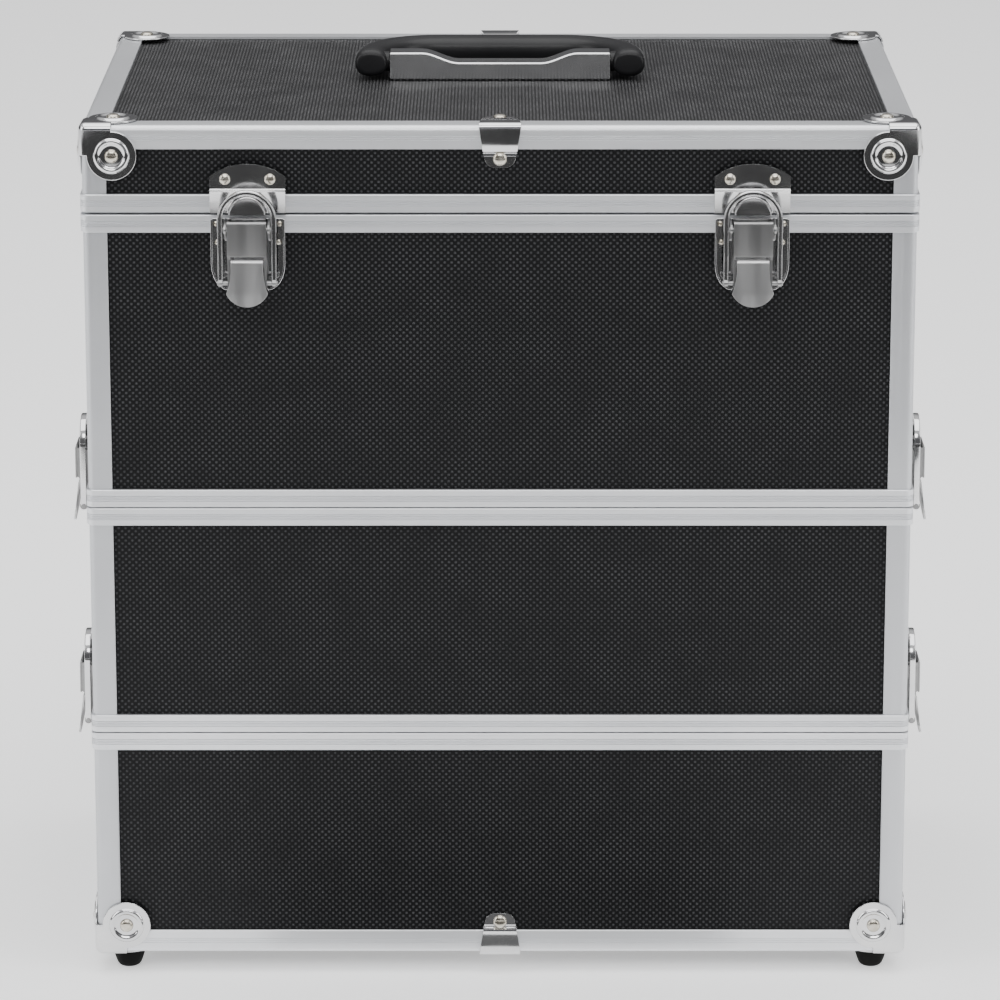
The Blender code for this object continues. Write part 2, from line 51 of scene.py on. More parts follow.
# The case's outside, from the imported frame
LOW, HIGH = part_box("bottom_frame")
HALF_X, HALF_Y = (HIGH.x - LOW.x) / 2, (HIGH.y - LOW.y) / 2
CASE_Y = (LOW.y + HIGH.y) / 2
FRONT_Y, REAR_Y = LOW.y, HIGH.y
BOTTOM_Z, TOP_Z = LOW.z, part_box("lid_frame")[1].z

# Edge frames, as in the CAD
FIT = 0.3 * MM
SHEET = 1.2 * MM
RIM = 2.2 * MM
RIM_HEIGHT = 8 * MM
END_RIM_HEIGHT = 10.6 * MM
END_FLANGE = 12.5 * MM
SEAM_FLANGE = 8 * MM
TONGUE_HEIGHT = 3 * MM
TONGUE_INSET = 8.5 * MM
SEAM_CLOSE = 0.1 * MM  # how far a lower rim is let down towards the rim under it
INSET = 1 * MM  # the posts and the end rims stand this far behind the seam rims
POST_WIDTH = 11.8 * MM
PANEL = 4 * MM
FLOOR_RISE = 4.2 * MM  # of a stacked case's floor, which clears the tongue below it
POST_LAP = 0.5 * MM  # how far a post starts behind the rim under it
CORNER = 4 * MM  # radius of the frame's vertical edges
LID_BULLNOSE = 2.6 * MM
BASE_BULLNOSE = 1.8 * MM

# Dimples of the laminate
DIMPLE_PITCH = 3.05 * MM
DIMPLE_ROWS = 2.9 * MM  # two staggered rows
DIMPLE_HEIGHT = 0.25 * MM


# Materials


class Finish:
    """A material with short calls for the nodes used here."""

    def __init__(self, name, constants):
        self.material = bpy.data.materials.new(name)
        self.material.use_nodes = True
        self.tree = self.material.node_tree
        self.shader = self.tree.nodes["Principled BSDF"]
        for socket, value in constants.items():
            self.plug(value, self.shader.inputs[socket])

    def plug(self, value, socket):
        if isinstance(value, bpy.types.NodeSocket):
            self.tree.links.new(value, socket)
        else:
            socket.default_value = value

    def node(self, kind, inputs=None, **settings):
        node = self.tree.nodes.new(kind)
        for name, value in settings.items():
            setattr(node, name, value)
        for socket, value in (inputs or {}).items():
            self.plug(value, node.inputs[socket])
        return node

    def math(self, operation, *values):
        node = self.node("ShaderNodeMath", operation=operation)
        for socket, value in zip(node.inputs, values):
            self.plug(value, socket)
        return node.outputs[0]

    def mix(self, factor, a, b):
        return self.node("ShaderNodeMix", {0: factor, 2: a, 3: b}).outputs[0]

    def blend(self, factor, a, b):
        inputs = {0: factor, 6: (*a, 1), 7: (*b, 1)}
        return self.node("ShaderNodeMix", inputs, data_type="RGBA").outputs[2]

    def coordinates(self, kind="Object"):
        return self.node("ShaderNodeTexCoord").outputs[kind]

    def split(self, vector):
        return self.node("ShaderNodeSeparateXYZ", {0: vector}).outputs

    def noise(self, scale, detail=3, stretch=(1, 1, 1)):
        mapping = self.node("ShaderNodeMapping", {"Vector": self.coordinates(), "Scale": stretch})
        inputs = {"Vector": mapping.outputs[0], "Scale": scale, "Detail": detail}
        return self.node("ShaderNodeTexNoise", inputs).outputs["Fac"]

    def remap(self, value, low, high, new_low=0, new_high=1, smooth=False):
        kind = "SMOOTHSTEP" if smooth else "LINEAR"
        inputs = {"Value": value, "From Min": low, "From Max": high, "To Min": new_low, "To Max": new_high}
        return self.node("ShaderNodeMapRange", inputs, interpolation_type=kind).outputs[0]

    def color(self, socket):
        self.plug(socket, self.shader.inputs["Base Color"])

    def roughness(self, socket):
        self.plug(socket, self.shader.inputs["Roughness"])

    def bump(self, height, distance, strength=1):
        inputs = {"Height": height, "Distance": distance, "Strength": strength}
        self.plug(self.node("ShaderNodeBump", inputs).outputs[0], self.shader.inputs["Normal"])


def laminate():
    """Black laminate with staggered dimples, laid out across whichever side a face is on."""
    finish = Finish("dimpled_laminate", {"Specular IOR Level": 0.16})
    x, y, z = finish.split(finish.coordinates())
    normal_x, _, normal_z = finish.split(finish.coordinates("Normal"))
    on_side = finish.math("GREATER_THAN", finish.math("ABSOLUTE", normal_x), 0.7)
    on_top = finish.math("GREATER_THAN", finish.math("ABSOLUTE", normal_z), 0.7)
    across = finish.mix(on_side, x, y)
    along = finish.mix(on_top, z, y)
    columns = finish.math("COSINE", finish.math("MULTIPLY", across, 2 * math.pi / DIMPLE_PITCH))
    rows = finish.math("COSINE", finish.math("MULTIPLY", along, 2 * math.pi / DIMPLE_ROWS))
    wave = finish.math("MULTIPLY", columns, rows)
    dimple = finish.remap(wave, 0.0, 1.0, smooth=True)
    # The dimples' crests are painted lighter, a painted highlight of the dots catching the light, made
    # uneven by noise.
    uneven_highlight = finish.remap(finish.noise(60, 4), 0.3, 0.7, 0.55, 1.0)
    crest_highlight = finish.math("MULTIPLY", dimple, uneven_highlight)
    # Painted highlight on the crests: faint on the sides, much stronger on top faces, where it stands in for
    # the streaks of light across the top.
    side_painted_highlight = finish.blend(crest_highlight, (0.0032, 0.0034, 0.0039), (0.044, 0.045, 0.048))
    top_painted_highlight = finish.blend(crest_highlight, (0.0035, 0.0035, 0.004), (0.20, 0.20, 0.205))
    both = {0: on_top, 6: side_painted_highlight, 7: top_painted_highlight}
    finish.color(finish.node("ShaderNodeMix", both, data_type="RGBA").outputs[2])
    finish.roughness(finish.remap(finish.noise(25, 5), 0.35, 0.65, 0.46, 0.49))
    finish.bump(dimple, DIMPLE_HEIGHT)
    return finish.material


def aluminium(name, stretch, colors):
    """Satin anodised aluminium, with faint draw lines along the extrusion."""
    finish = Finish(name, {"Metallic": 0.8})
    lines = finish.noise(90, 2, stretch)
    cloud = finish.noise(14, 4)
    finish.color(finish.blend(finish.remap(cloud, 0.3, 0.7), *colors))
    finish.roughness(finish.remap(lines, 0.25, 0.75, 0.34, 0.46))
    finish.bump(lines, 0.012 * MM)
    return finish.material


def chrome():
    """Bright chromed pressed steel with faint smears and the ripple of a pressing."""
    finish = Finish("chromed_steel", {"Metallic": 1})
    smear = finish.noise(45, 6)
    finish.color(finish.blend(finish.remap(smear, 0.35, 0.65), (0.62, 0.62, 0.63), (0.72, 0.72, 0.72)))
    finish.roughness(finish.remap(smear, 0.4, 0.7, 0.07, 0.16))
    finish.bump(finish.noise(110, 1), 0.03 * MM)
    return finish.material


def satin_nickel(name, dark, light):
    """Brushed nickel, between two greys."""
    finish = Finish(name, {"Metallic": 1})
    lines = finish.noise(160, 2, (1, 1, 0.06))
    finish.color(finish.blend(finish.remap(lines, 0.3, 0.7), (dark,) * 3, (light,) * 3))
    finish.roughness(finish.remap(lines, 0.3, 0.7, 0.28, 0.38))
    finish.bump(lines, 0.008 * MM)
    return finish.material


def rivet_metal():
    finish = Finish("rivet_nickel", {"Metallic": 1})
    cloud = finish.noise(300, 3)
    finish.color(finish.blend(finish.remap(cloud, 0.35, 0.65), (0.50, 0.46, 0.38), (0.66, 0.63, 0.56)))
    finish.roughness(finish.remap(cloud, 0.3, 0.7, 0.16, 0.3))
    return finish.material


def moulded(name, grain, depth, roughness, colors, specular=0.3):
    """A black moulding with a fine grain."""
    finish = Finish(name, {"Specular IOR Level": specular})
    fine = finish.noise(grain, 4)
    finish.color(finish.blend(finish.remap(finish.noise(40, 4), 0.35, 0.65), *colors))
    finish.roughness(finish.remap(fine, 0.3, 0.7, roughness - 0.06, roughness + 0.08))
    finish.bump(fine, depth)
    return finish.material


def lining_cloth():
    finish = Finish("black_lining", {"Roughness": 0.92, "Sheen Weight": 0.35, "Sheen Roughness": 0.45})
    pile = finish.noise(1400, 3)
    finish.color(finish.blend(finish.remap(pile, 0.3, 0.7), (0.008, 0.008, 0.009), (0.026, 0.026, 0.028)))
    finish.bump(pile, 0.15 * MM)
    return finish.material


PANEL_FINISH = laminate()
# The rims take a lighter and the posts a darker copy of the same aluminium: painted light and shade.
RIM_PAINTED_LIGHT_FINISH = aluminium("aluminium_rims", (0.05, 0.05, 12), ((0.74, 0.75, 0.77), (0.80, 0.81, 0.83)))
POST_PAINTED_SHADE_FINISH = aluminium("aluminium_posts", (12, 12, 0.05), ((0.54, 0.55, 0.57), (0.60, 0.61, 0.63)))
CHROME = chrome()
NICKEL = satin_nickel("satin_nickel", 0.30, 0.36)
# The lever's tab takes a lighter copy of the same nickel: painted light standing in for its brighter
# reflection.
TAB_PAINTED_LIGHT_NICKEL = satin_nickel("nickel_painted_lighter", 0.52, 0.60)
RIVET = rivet_metal()
GRIP_FINISH = moulded("grip_moulding", 1500, 0.03 * MM, 0.36, ((0.008, 0.008, 0.009), (0.013, 0.013, 0.014)))
RUBBER = moulded("foot_rubber", 900, 0.05 * MM, 0.6, ((0.005, 0.005, 0.005), (0.009, 0.009, 0.008)), 0.08)
LINING = lining_cloth()


# Mesh building. Every shape is added to a bmesh, in metres.


def mm(*rows):
    """Rows of numbers given in millimetres, in metres."""
    return [tuple(value * MM for value in row) for row in rows]


def loft(bm, rings, index=0, closed=False):
    """Faces through rings of points: capped at both ends, or closed back on the first ring."""
    loops = [[bm.verts.new(point) for point in ring] for ring in rings]
    pairs = list(zip(loops, loops[1:])) + ([(loops[-1], loops[0])] if closed else [])
    faces = []
    for low, high in pairs:
        for i in range(len(low)):
            j = (i + 1) % len(low)
            faces.append(bm.faces.new((low[i], low[j], high[j], high[i])))
    if not closed:
        faces += [bm.faces.new(reversed(loops[0])), bm.faces.new(loops[-1])]
    for face in faces:
        face.material_index = index
    return faces


def prism(bm, outline, axis, start, end, index=0):
    """An outline, in the two other axes in X, Y, Z order, extruded along axis."""
    order = {"X": (2, 0, 1), "Y": (0, 2, 1), "Z": (0, 1, 2)}[axis]
    rings = [[tuple((a, b, depth)[i] for i in order) for a, b in outline] for depth in (start, end)]
    return loft(bm, rings, index)


def arc(centre, radius, first, last, count):
    """Points on an arc between two angles in degrees, both ends included."""
    angles = [math.radians(first + (last - first) * i / count) for i in range(count + 1)]
    return [(centre[0] + radius * math.cos(a), centre[1] + radius * math.sin(a)) for a in angles]


def circle(centre, radius, count=32):
    return arc(centre, radius, 0, 360, count)[:-1]


def turned(bm, profile, place=Matrix(), count=32, index=0):
    """A turned solid around place's -Y axis: rows of (radius, height) from its back to its tip."""
    tip = (0.03 * profile[-1][0], profile[-1][1])
    rings = []
    for radius, height in list(profile) + [tip]:
        rings.append([place @ Vector((x, -height, z)) for x, z in circle((0, 0), radius, count)])
    return loft(bm, rings, index)


def rounded_loop(half_x, half_y, radius, z, segments=6):
    """A horizontal rounded rectangle, as points round the case's middle."""
    points = []
    for sign_x, sign_y, first in ((1, 1, 0), (-1, 1, 90), (-1, -1, 180), (1, -1, 270)):
        centre = (sign_x * (half_x - radius), sign_y * (half_y - radius))
        points += [(x, CASE_Y + y, z) for x, y in arc(centre, radius, first, first + 90, segments)]
    return points


def ring_round(bm, section, index=0):
    """A closed section of (inset, z) points, swept round the case."""
    rings = []
    for inset, z in section:
        radius = max(CORNER - inset, 0.3 * MM)
        rings.append(rounded_loop(HALF_X - inset, HALF_Y - inset, radius, z))
    return loft(bm, rings, index, closed=True)


def finished(name, bm, materials, body, place=None, replaces=(), bevel=None, segments=2, sharp=35):
    """Makes the piece, moves its mesh to place, and lets it ride on its body."""
    bmesh.ops.recalc_face_normals(bm, faces=bm.faces)
    if place:
        bm.transform(place)
    mesh = bpy.data.meshes.new(name)
    bm.to_mesh(mesh)
    bm.free()
    for material in materials:
        mesh.materials.append(material)
    mesh.shade_smooth()
    mesh.set_sharp_from_angle(angle=math.radians(sharp))
    obj = bpy.data.objects.new(name, mesh)
    bpy.context.scene.collection.objects.link(obj)
    if bevel:
        modifier = obj.modifiers.new("Edges", "BEVEL")
        modifier.width = bevel
        modifier.segments = segments
        modifier.limit_method = "ANGLE"
        modifier.angle_limit = math.radians(40)
        modifier.harden_normals = True
    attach(obj, body)
    if replaces:
        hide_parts(*replaces)
    return obj


# Edge frames


def grooves(low, high, count=4, depth=0.4 * MM, width=0.5 * MM):
    """Points of fine grooves, spaced evenly from low to high along a rim's face."""
    points = []
    for i in range(count):
        middle = low + (high - low) * (i + 1) / (count + 1)
        points += [(0, middle - width / 2), (depth, middle - width / 6)]
        points += [(depth, middle + width / 6), (0, middle + width / 2)]
    return points


def rim_face(low, high):
    """A rim's face: its two outer edges slightly broken, and fine grooves along its middle."""
    edge = 0.3 * MM
    plain = 0.26 * (high - low)
    ribs = grooves(low + plain, high - plain)
    return [(edge, low), (0, low + edge)] + ribs + [(0, high - edge), (edge, high)]


def lower_rim(z):
    """The rim that stands on the case below. It shuts the seam to a hairline."""
    z -= SEAM_CLOSE
    top = z + RIM_HEIGHT
    back = [(RIM, top), (RIM, z + SHEET), (SEAM_FLANGE, z + SHEET), (SEAM_FLANGE, z)]
    return rim_face(z, top) + back


def upper_rim(z):
    """The rim under a seam, with the tongue that locates the case above."""
    inner = TONGUE_INSET + SHEET
    tongue = [(TONGUE_INSET, z), (TONGUE_INSET, z + TONGUE_HEIGHT), (inner, z + TONGUE_HEIGHT)]
    back = [(inner, z - SHEET), (RIM, z - SHEET), (RIM, z - RIM_HEIGHT)]
    return rim_face(z - RIM_HEIGHT, z) + tongue + back


def end_rim(z, sign, bullnose):
    """The rim at the very top or bottom, rounded over into its flange."""
    start, end = z - sign * END_RIM_HEIGHT, z - sign * bullnose
    middle, pitch = z - sign * 5.6 * MM, 0.9 * MM
    edge = 0.3 * MM
    depth, mouth, bed = 0.25 * MM, 0.22 * MM, 0.08 * MM  # a groove's depth and half widths
    face = [(edge, start), (0, start + sign * edge)]
    for i in (-1, 0, 1):
        groove = middle + sign * i * pitch
        face += [(0, groove - sign * mouth), (depth, groove - sign * bed)]
        face += [(depth, groove + sign * bed), (0, groove + sign * mouth)]
    face += [(bullnose - a, end + sign * b) for a, b in arc((0, 0), bullnose, 0, 90, 7)]
    shelf = z - sign * SHEET
    back = [(END_FLANGE - INSET, z), (END_FLANGE - INSET, shelf), (RIM - INSET, shelf), (RIM - INSET, start)]
    return [(INSET + inset, height) for inset, height in face + back]


def posts(bm, low, high):
    """The four upright corner profiles, which stand a little behind the rims."""
    radius, outer, inner = CORNER - INSET, INSET, INSET + SHEET
    lip = 0.25 * MM
    for sign_x in (-1, 1):
        for sign_y in (-1, 1):
            bend = arc((outer + radius, outer + radius), radius, 180, 270, 8)
            bend_back = arc((outer + radius, outer + radius), radius - SHEET, 270, 180, 8)
            outline = [(outer + lip, POST_WIDTH), (outer, POST_WIDTH - 2 * lip)] + bend
            outline += [(POST_WIDTH - 2 * lip, outer), (POST_WIDTH, outer + lip), (POST_WIDTH, inner)]
            outline += bend_back + [(inner, POST_WIDTH)]
            plan = [(sign_x * (HALF_X - a), CASE_Y + sign_y * (HALF_Y - b)) for a, b in outline]
            prism(bm, plan, "Z", low, high, index=1)


def make_frame(name):
    low, high = (corner.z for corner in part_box(f"{name}_frame"))
    bm = bmesh.new()
    if name == "lid":
        ring_round(bm, lower_rim(low))
        ring_round(bm, end_rim(high, 1, LID_BULLNOSE))
        posts(bm, low + RIM_HEIGHT - POST_LAP, high - END_RIM_HEIGHT)
    else:
        seam = high - TONGUE_HEIGHT
        foot = END_RIM_HEIGHT if name == "bottom" else RIM_HEIGHT
        ring_round(bm, end_rim(low, -1, BASE_BULLNOSE) if name == "bottom" else lower_rim(low))
        ring_round(bm, upper_rim(seam))
        posts(bm, low + foot - POST_LAP, seam - RIM_HEIGHT)
    finished(
        f"{name}_edge_frame",
        bm,
        [RIM_PAINTED_LIGHT_FINISH, POST_PAINTED_SHADE_FINISH],
        BODY[name],
        replaces=[f"{name}_frame"],
        sharp=30,
    )


def make_lining(name):
    """A thin black lining inside the panels, open on the side where the case opens."""
    low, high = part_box(f"{name}_shell")
    gap, thick, short = 0.2 * MM, 1 * MM, 0.6 * MM  # short: how far it stops below the panels' edge
    half_x, half_y = (high.x - low.x) / 2 - PANEL - gap, (high.y - low.y) / 2 - PANEL - gap
    if name == "lid":
        floor, mouth, sign = high.z - PANEL - gap, low.z + short, -1
    else:
        rise = 0 if name == "bottom" else FLOOR_RISE - SHEET - FIT
        floor, mouth, sign = low.z + rise + PANEL + gap, high.z - short, 1
    bm = bmesh.new()
    rows = ((0, floor), (0, mouth), (thick, mouth), (thick, floor + sign * thick))
    rings = []
    for inset, z in rows:
        rings.append(rounded_loop(half_x - inset, half_y - inset, 2 * MM, z, 3))
    loft(bm, rings)
    finished(f"{name}_lining", bm, [LINING], BODY[name], bevel=0.3 * MM)


def dress_panels():
    for name in CASES + ("lid",):
        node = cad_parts[f"{name}_shell"]
        node.data.materials.clear()
        node.data.materials.append(PANEL_FINISH)
        make_frame(name)
        make_lining(name)


# Sheet-metal shapes shared by the fittings. "Out" is away from the face a fitting sits on, towards -Y.


def strap(bm, rows, thick, index=0):
    """A bent sheet through rows of (half width, out, up), with its middle on the rows."""
    rings = []
    for i, (half, out, up) in enumerate(rows):
        before, after = rows[max(i - 1, 0)], rows[min(i + 1, len(rows) - 1)]
        along = Vector((after[1] - before[1], after[2] - before[2])).normalized() * (thick / 2)
        corners = ((-half, 1), (half, 1), (half, -1), (-half, -1))
        rings.append([(x, -(out + side * along.y), up - side * along.x) for x, side in corners])
    return loft(bm, rings, index)


def bar(bm, path, section, index=0):
    """A bar along a path of (across, up) points; the section's points are (sideways, out)."""
    rings = []
    for i, point in enumerate(path):
        before, after = Vector(path[max(i - 1, 0)]), Vector(path[min(i + 1, len(path) - 1)])
        along = (after - before).normalized()
        aside = Vector((along.y, -along.x))
        rings.append([(point[0] + aside.x * a, -out, point[1] + aside.y * a) for a, out in section])
    return loft(bm, rings, index)


def dome(bm, x, z, out, radius, height, index=0, count=24):
    """A rivet head: a short cylinder under a low dome."""
    rows = [(radius, out - 0.3 * MM), (radius, out + 0.2 * height)]
    for angle in (25, 45, 65, 85):
        a = math.radians(angle)
        rows.append((radius * math.cos(a), out + height * (0.2 + 0.8 * math.sin(a))))
    return turned(bm, rows, Matrix.Translation((x, 0, z)), count, index)


def rod(bm, out, up, start, end, radius, index=0, count=20):
    """A round pin along X."""
    return prism(bm, circle((-out, up), radius, count), "X", start, end, index)


# Corner guards

GUARD = 1.2 * MM  # outer face, off the edge frame
GUARD_NOSE = 3.2 * MM
LOBE_CENTRE = 13.4 * MM  # from both edges
LOBE_RADIUS = 11 * MM


def solid(shape):
    """A plain object made by a function that fills a bmesh."""
    bm = bmesh.new()
    shape(bm)
    bmesh.ops.recalc_face_normals(bm, faces=bm.faces)
    mesh = bpy.data.meshes.new("solid")
    bm.to_mesh(mesh)
    bm.free()
    obj = bpy.data.objects.new("solid", mesh)
    bpy.context.scene.collection.objects.link(obj)
    return obj


def block(low, high, nose=0):
    """A cube from low to high on every axis, with its edges rounded."""
    outline = ((low, low), (high, low), (high, high), (low, high))
    obj = solid(lambda bm: prism(bm, outline, "Z", low, high))
    if nose:
        bevel = obj.modifiers.new("Nose", "BEVEL")
        bevel.width = nose
        bevel.segments = 6
    return obj


def combined(base, tools):
    """The mesh of base after its Boolean tools, given as (object, operation) pairs."""
    for tool, operation in tools:
        modifier = base.modifiers.new(operation, "BOOLEAN")
        modifier.operation = operation
        modifier.solver = "EXACT"
        modifier.object = tool
    graph = bpy.context.evaluated_depsgraph_get()
    mesh = bpy.data.meshes.new_from_object(base.evaluated_get(graph))
    for obj in [base] + [tool for tool, _ in tools]:
        bpy.data.objects.remove(obj, do_unlink=True)
    return mesh


def guard_mesh():
    """A pressed guard over a corner at the origin: three round lobes and a rounded nose between them."""
    over = 4 * MM  # how far the tools reach past what they cut
    size = LOBE_CENTRE + LOBE_RADIUS + 2 * over
    outside = block(-size, GUARD, GUARD_NOSE)
    mask = block(-LOBE_CENTRE, over)
    lobe = circle((-LOBE_CENTRE, -LOBE_CENTRE), LOBE_RADIUS, 40)
    lobes = [solid(lambda bm, axis=axis: prism(bm, lobe, axis, -over, over)) for axis in "XYZ"]
    mask_mesh = combined(mask, [(tool, "UNION") for tool in lobes])
    mask = bpy.data.objects.new("mask", mask_mesh)
    bpy.context.scene.collection.objects.link(mask)
    inside = block(-size - over, FIT, GUARD_NOSE - GUARD + FIT)
    return combined(outside, [(mask, "INTERSECT"), (inside, "DIFFERENCE")])


def make_guards():
    shape = guard_mesh()
    ring = mm((8.2, -0.3), (7.9, 0.15), (7.4, 0.6), (6.8, 0.85), (6.2, 0.8), (5.6, 0.45))
    ring += mm((5.1, 0.12), (4.6, 0.03))
    rivet = mm((3.1, -0.1), (3.05, 0.5), (2.8, 1.0), (2.2, 1.4), (1.3, 1.65), (0.4, 1.72))
    # the lobes' axes, turned from -Y to the side each is on
    turns = {
        "X": Matrix.Rotation(math.pi / 2, 4, "Z"),
        "Y": Matrix.Rotation(math.pi, 4, "Z"),
        "Z": Matrix.Rotation(-math.pi / 2, 4, "X"),
    }
    for level, z, body in (("lid", TOP_Z, "lid"), ("base", BOTTOM_Z, "bottom_case")):
        up = 1 if level == "lid" else -1
        for side, sx, x in (("left", -1, INSET - HALF_X), ("right", 1, HALF_X - INSET)):
            for end, sy, y in (("front", -1, FRONT_Y + INSET), ("rear", 1, REAR_Y - INSET)):
                name = f"{level}_corner_{end}_{side}"
                place = Matrix.Translation((x, y, z)) @ Matrix.Diagonal((sx, sy, up, 1))
                bm = bmesh.new()
                bm.from_mesh(shape)
                bmesh.ops.remove_doubles(bm, verts=bm.verts, dist=0.002 * MM)
                bmesh.ops.dissolve_limit(bm, angle_limit=math.radians(0.5), verts=bm.verts, edges=bm.edges)
                finished(
                    name + "_guard",
                    bm,
                    [CHROME],
                    body,
                    place,
                    replaces=[name],
                    bevel=0.45 * MM,
                    sharp=30,
                )
                bm = bmesh.new()
                for axis in "XYZ" if level == "lid" else "XY":
                    middle = Vector((-LOBE_CENTRE,) * 3)
                    middle["XYZ".index(axis)] = GUARD
                    spot = Matrix.Translation(middle) @ turns[axis]
                    turned(bm, ring, spot, count=40)
                    turned(bm, rivet, spot, count=24, index=1)
                finished(name + "_rivets", bm, [CHROME, RIVET], body, place, sharp=50)


# Edge clips and feet

CLIP_SHEET = 1.1 * MM
CLIP_OUT = FIT + CLIP_SHEET / 2  # middle of the sheet, off the rim's face
CLIP_STEP = RIM + FIT - INSET  # from the rim's face back to the panel's
CLIP_BEND = 1.8 * MM
CLIP_HALF = 9.2 * MM  # half its width at the bend
CLIP_TIP = 4.6 * MM  # corner radius of a leg's round end
CLIP_DOWN = 18.8 * MM  # length of the leg on the front or rear face
CLIP_BACK = 23.2 * MM  # length of the leg on the top or the underside
CLIP_RIVET_DOWN = 14.8 * MM
CLIP_RIVET_BACK = 19.8 * MM


def clip_leg(length, edge):
    """Rows of half width, out and up along one leg of an edge clip, from the bend to its round end."""
    low = CLIP_OUT - CLIP_STEP
    rows = [
        (CLIP_HALF, CLIP_OUT, CLIP_OUT - CLIP_BEND),
        (8.8 * MM, CLIP_OUT, -0.35 * edge),
        (7.7 * MM, CLIP_OUT, -edge),
        (7.6 * MM, CLIP_OUT - 0.1 * MM, -edge - 0.35 * MM),
        (7.5 * MM, low + 0.1 * MM, -edge - 1.2 * MM),
        (7.4 * MM, low, -edge - 1.7 * MM),
        (6.9 * MM, low, CLIP_TIP - length),
    ]
    for angle in (10, 25, 40, 55, 70, 82):
        a = math.radians(angle)
        rows.append((2.3 * MM + CLIP_TIP * math.cos(a), low, CLIP_TIP * (1 - math.sin(a)) - length))
    return rows


def make_clips():
    """Clips folded over the middle of the top and bottom edges, with a rivet in each leg."""
    ends = (("front", FRONT_Y + INSET, 0), ("rear", REAR_Y - INSET, math.pi))
    swap = Matrix(((1, 0, 0, 0), (0, 0, -1, 0), (0, -1, 0, 0), (0, 0, 0, 1)))  # turns down into back
    face = CLIP_OUT + CLIP_SHEET / 2 - CLIP_STEP
    corner = CLIP_OUT - CLIP_BEND
    over = [(half, up, out) for half, out, up in clip_leg(CLIP_BACK, END_FLANGE - INSET)]
    bend = [(CLIP_HALF, out, up) for out, up in arc((corner, corner), CLIP_BEND, 90, 0, 8)]
    rows = over[::-1] + bend[1:-1] + clip_leg(CLIP_DOWN, END_RIM_HEIGHT)
    for level, z, body, up in (("lid", TOP_Z, "lid", 1), ("base", BOTTOM_Z, "bottom_case", -1)):
        for end, y, turn in ends:
            name = f"{level}_clip_{end}"
            place = Matrix.Translation((0, y, z)) @ Matrix.Rotation(turn, 4, "Z")
            bm = bmesh.new()
            dome(bm, 0, -CLIP_RIVET_BACK, face, radius=3.1 * MM, height=1.6 * MM, index=1)
            bm.transform(swap)
            dome(bm, 0, -CLIP_RIVET_DOWN, face, radius=3.1 * MM, height=1.6 * MM, index=1)
            strap(bm, rows, CLIP_SHEET)
            finished(
                name + "_strip",
                bm,
                [CHROME, RIVET],
                body,
                place @ Matrix.Diagonal((1, 1, up, 1)),
                replaces=[name],
                bevel=0.3 * MM,
            )


def make_feet():
    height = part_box("foot_front_left")[1].z
    rows = mm((3.4, 0), (4.2, 0.15), (4.9, 0.6), (5.5, 1.4), (6.3, 3.4), (7, 5.8), (7.4, 7.6))
    rows.append((7.5 * MM, height))
    upright = Matrix.Rotation(-math.pi / 2, 4, "X")
    for side in ("left", "right"):
        for end in ("front", "rear"):
            name = f"foot_{end}_{side}"
            low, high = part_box(name)
            place = Matrix.Translation(((low.x + high.x) / 2, (low.y + high.y) / 2, 0)) @ upright
            bm = bmesh.new()
            turned(bm, rows, count=36)
            finished(name + "_rubber", bm, [RUBBER], "bottom_case", place, replaces=[name])


# Draw latches, drawn around the point of the rim's face at the seam, as in the CAD

LEVER_PIVOT = (10.5 * MM, -5 * MM)  # out, up
BAIL_PIVOT = (10.6 * MM, -29 * MM)
BAIL_INNER, BAIL_OUTER = 10.6 * MM, 13 * MM
BAIL_CROWN = -0.4 * MM  # height of the middle of the bail's arc
PIN_RADIUS = 1.1 * MM
STRIKE_HALF = 16.6 * MM
STRIKE_LOW = 0.6 * MM  # lower edge of the strike, above the seam
BASE_HALF = 16.4 * MM
LEVER_HALF = 8.6 * MM


def crown(half, shoulder, top, out, count=8):
    """Rows of a sheet's rounded end, from its shoulder to its top."""
    rise = top - shoulder
    radius = (half**2 + rise**2) / (2 * abs(rise)) * math.copysign(1, rise)
    spread = math.asin(half / abs(radius))
    rows = []
    for i in range(1, count + 1):
        a = spread * (1 - i / (count + 0.4))
        rows.append((abs(radius) * math.sin(a), out, top - radius + radius * math.cos(a)))
    return rows


def latch_strike(bm):
    """The plate over the rim, stepped back on to the panel, with the half-moon hook."""
    profile = mm((0.7, 0.6), (1.45, 9.2), (1.6, 10.1), (1.3, 10.7), (0.2, 11.2), (0.05, 16.8))
    rows = [(STRIKE_HALF, out, up) for out, up in profile]
    strap(bm, rows + crown(STRIKE_HALF, 16.8 * MM, 22.4 * MM, 0.05 * MM), 1 * MM)
    # the half-moon hook: its distance out and its radius, in millimetres
    skirt = ((0.8, 9.6), (1.3, 8.9), (2, 8.45), (3.2, 8.2), (7.6, 8.15), (8.1, 8.05), (8.4, 7.8))
    skirt += ((8.56, 7.5), (8.62, 7.1), (8.7, 3), (8.7, 0.2))
    rings = []
    for out, radius in skirt:
        low = STRIKE_LOW + max(0, out - 7) * 0.4 * MM
        rings.append([(x, -out * MM, z) for x, z in arc((0, low), radius * MM, 0, 180, 24)])
    loft(bm, rings)
    for x in (-9.9 * MM, 9.9 * MM):
        dome(bm, x, 15.6 * MM, 0.55 * MM, radius=2.5 * MM, height=1.4 * MM, index=1)


